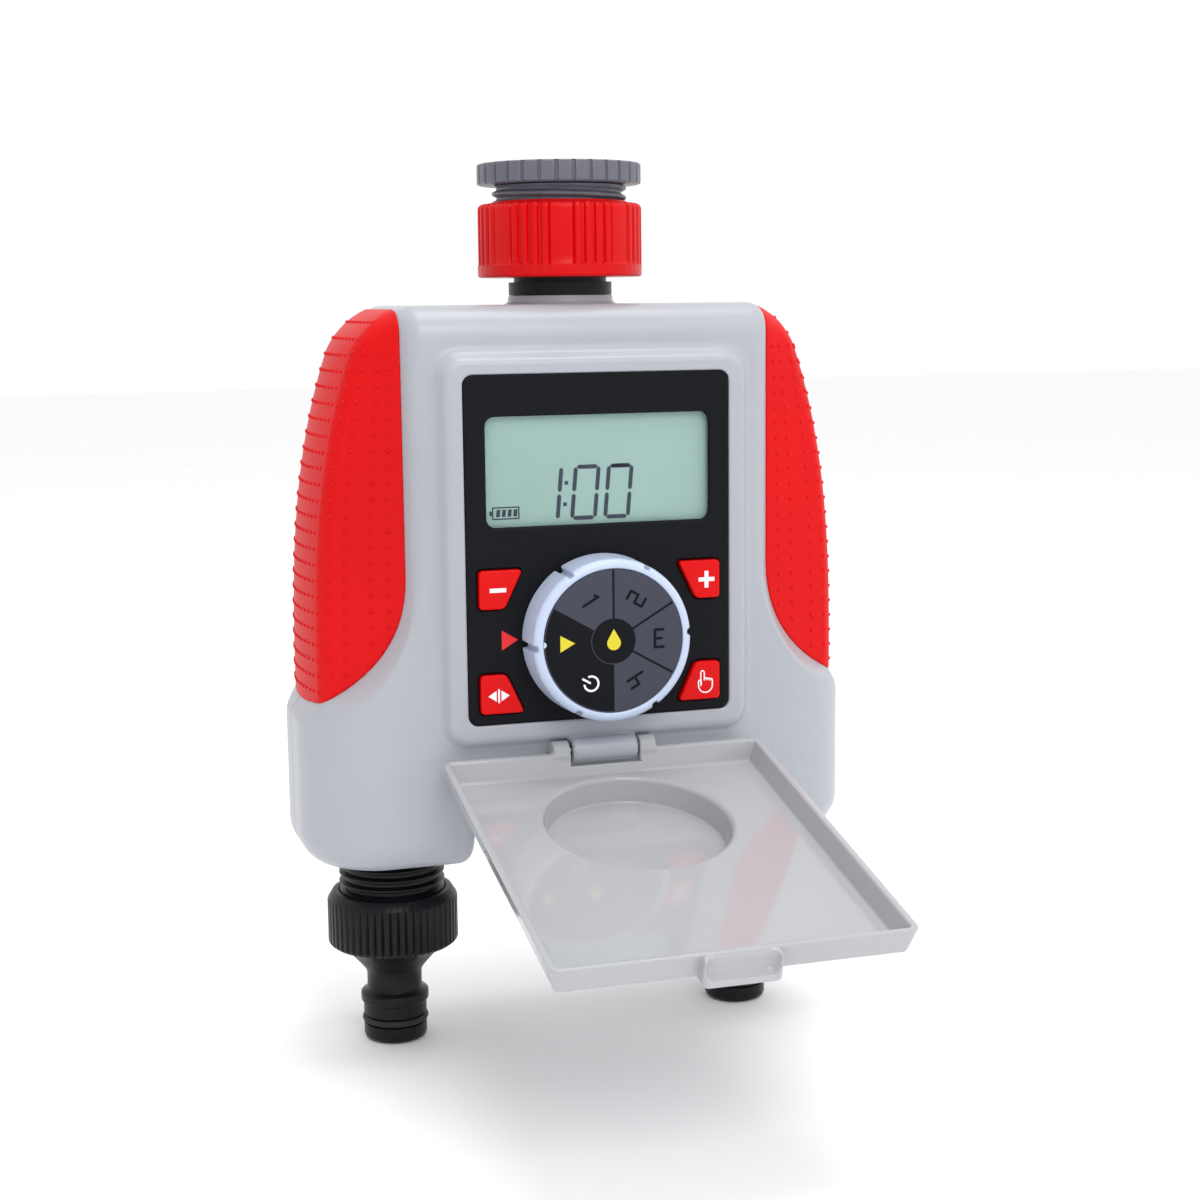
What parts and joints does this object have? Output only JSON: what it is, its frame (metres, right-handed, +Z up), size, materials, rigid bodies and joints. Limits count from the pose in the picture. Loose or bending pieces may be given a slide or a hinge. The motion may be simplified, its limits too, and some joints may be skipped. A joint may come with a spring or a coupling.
{
  "type": "irrigation controller",
  "caption": "Tap-hung irrigation controller with a swivel inlet, open lid over a dial and push buttons, soft side grips and paired hose outlets.",
  "frame": {"origin": "mouth of the tap thread, on its axis", "axes": "+Z up along the tap thread, -Y towards the front panel, +X to the right seen from the front"},
  "size_m": [0.141, 0.1513, 0.2183],
  "materials": {
    "case_grey": "satin moulded",
    "lid_grey": "polished moulded",
    "grip_red": "soft touch, dotted",
    "red_plastic": "semi-gloss moulded",
    "button_red": "semi-gloss moulded",
    "black_plastic": "satin moulded",
    "adapter_grey": "satin moulded",
    "panel_black": "semi-gloss",
    "window_clear": "clear",
    "display": "grey-green reflective display",
    "board_green": "solder resist",
    "dial_pale": "satin moulded",
    "label_grey": "printed",
    "switch_blue": "moulded",
    "bay_grey": "moulded",
    "cell_wrap": "plain wrap",
    "white_plastic": "moulded",
    "black_rubber": "moulded",
    "copper": "enamelled wire",
    "steel": "plain"
  },
  "bodies": {
    "case": {"filter_washer": "black_rubber", "filter_mesh": "steel", "inlet_manifold": "black_plastic", "front_shell": "case_grey", "rear_shell": "case_grey", "left_grip": "grip_red", "right_grip": "grip_red", "case_screws": "steel", "control_panel": "panel_black", "lcd_window": "window_clear", "lcd_module": "display", "circuit_board": "board_green", "board_screws": "steel", "rotary_switch": "switch_blue", "tact_switches": "black_plastic", "battery_bay": "bay_grey", "battery_contacts": "steel", "left_valve_body": "black_plastic", "left_diaphragm": "black_rubber", "left_bonnet": "bay_grey", "left_bonnet_screws": "steel", "left_plunger_spring": "steel", "left_coil": "copper", "left_coil_frame": "steel", "right_valve_body": "black_plastic", "right_diaphragm": "black_rubber", "right_bonnet": "bay_grey", "right_bonnet_screws": "steel", "right_plunger_spring": "steel", "right_coil": "copper", "right_coil_frame": "steel"},
    "adapter": {"tap_adapter": "adapter_grey", "tap_washer": "black_rubber"},
    "nut": {"inlet_nut": "red_plastic"},
    "dial": {"dial_knob": "dial_pale", "dial_label": "label_grey", "switch_shaft": "steel"},
    "minus_key": {"minus_button": "button_red"},
    "plus_key": {"plus_button": "button_red"},
    "zone_key": {"zone_button": "button_red"},
    "manual_key": {"manual_button": "button_red"},
    "lid": {"front_lid": "lid_grey", "hinge_pin": "steel"},
    "tray": {"battery_tray": "bay_grey", "batteries": "cell_wrap", "tray_gasket": "black_rubber"},
    "left_hose_end": {"left_connector": "black_plastic", "left_connector_washer": "black_rubber", "left_nose_ring": "black_rubber"},
    "left_poppet": {"left_diaphragm_plate": "white_plastic"},
    "left_armature": {"left_plunger": "steel"},
    "right_hose_end": {"right_connector": "black_plastic", "right_connector_washer": "black_rubber", "right_nose_ring": "black_rubber"},
    "right_poppet": {"right_diaphragm_plate": "white_plastic"},
    "right_armature": {"right_plunger": "steel"}
  },
  "joints": [
    {"name": "adapter_turn", "type": "hinge", "parent": "case", "child": "adapter", "pos_m": [0, 0, -0.01], "axis": [0, 0, 1], "continuous": true},
    {"name": "nut_turn", "type": "hinge", "parent": "case", "child": "nut", "pos_m": [0, 0, -0.025], "axis": [0, 0, 1], "continuous": true},
    {"name": "lid_hinge", "type": "hinge", "parent": "case", "child": "lid", "pos_m": [0, -0.03116, -0.14071], "axis": [-1, 0, 0], "range_deg": [0, 103.85]},
    {"name": "dial_turn", "type": "hinge", "parent": "case", "child": "dial", "pos_m": [0, -0.031, -0.1129], "axis": [0, 1, 0], "continuous": true},
    {"name": "minus_press", "type": "slide", "parent": "case", "child": "minus_key", "axis": [0, 1, 0], "range_m": [0, 0.0009], "stiffness_N_per_m": 1500},
    {"name": "plus_press", "type": "slide", "parent": "case", "child": "plus_key", "axis": [0, 1, 0], "range_m": [0, 0.0009], "stiffness_N_per_m": 1500},
    {"name": "zone_press", "type": "slide", "parent": "case", "child": "zone_key", "axis": [0, 1, 0], "range_m": [0, 0.0009], "stiffness_N_per_m": 1500},
    {"name": "manual_press", "type": "slide", "parent": "case", "child": "manual_key", "axis": [0, 1, 0], "range_m": [0, 0.0009], "stiffness_N_per_m": 1500},
    {"name": "tray_slide", "type": "slide", "parent": "case", "child": "tray", "axis": [0, 0, -1], "range_m": [0, 0.06]},
    {"name": "left_hose_end_turn", "type": "hinge", "parent": "case", "child": "left_hose_end", "pos_m": [-0.0464, 0, -0.195], "axis": [0, 0, 1], "continuous": true},
    {"name": "left_poppet_lift", "type": "slide", "parent": "case", "child": "left_poppet", "axis": [0, 0, 1], "range_m": [0, 0.0016], "stiffness_N_per_m": 100, "deforming": ["left_diaphragm"]},
    {"name": "left_plunger_lift", "type": "slide", "parent": "case", "child": "left_armature", "axis": [0, 0, 1], "range_m": [0, 0.0015], "stiffness_N_per_m": 100, "deforming": ["left_plunger_spring"]},
    {"name": "right_hose_end_turn", "type": "hinge", "parent": "case", "child": "right_hose_end", "pos_m": [0.0464, 0, -0.195], "axis": [0, 0, 1], "continuous": true},
    {"name": "right_poppet_lift", "type": "slide", "parent": "case", "child": "right_poppet", "axis": [0, 0, 1], "range_m": [0, 0.0016], "stiffness_N_per_m": 100, "deforming": ["right_diaphragm"]},
    {"name": "right_plunger_lift", "type": "slide", "parent": "case", "child": "right_armature", "axis": [0, 0, 1], "range_m": [0, 0.0015], "stiffness_N_per_m": 100, "deforming": ["right_plunger_spring"]}
  ]
}
